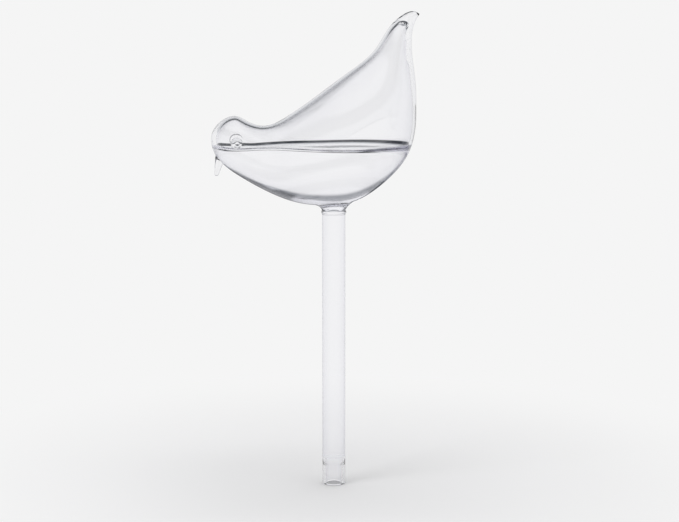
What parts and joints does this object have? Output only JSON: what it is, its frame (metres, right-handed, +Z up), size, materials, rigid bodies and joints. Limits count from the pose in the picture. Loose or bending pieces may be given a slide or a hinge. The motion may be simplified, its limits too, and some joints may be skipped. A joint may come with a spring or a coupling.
{
  "type": "watering globe",
  "caption": "Hollow blown glass bird welded to a long open glass tube; pushed into potting soil, it lets its water seep out of the tube's mouth as the soil dries.",
  "frame": {"origin": "centre of the stem tube's open mouth, the point that goes deepest into the soil", "axes": "+Z up the stem towards the bird, -X the way the bird's head points, XZ the bird's plane of symmetry"},
  "size_m": [0.1157, 0.0592, 0.2674],
  "materials": {
    "blown_glass": "clear blown borosilicate glass, fire polished",
    "tube_glass": "clear drawn borosilicate tube",
    "worked_glass": "clear borosilicate rod melted on in the flame",
    "water": "clear still water"
  },
  "bodies": {
    "root": {"bird_shell": "blown_glass", "tail_nib": "blown_glass", "stem_tube": "tube_glass", "stem_seal": "tube_glass", "beak": "worked_glass", "left_eye": "worked_glass", "right_eye": "worked_glass", "water_fill": "water"}
  },
  "joints": []
}
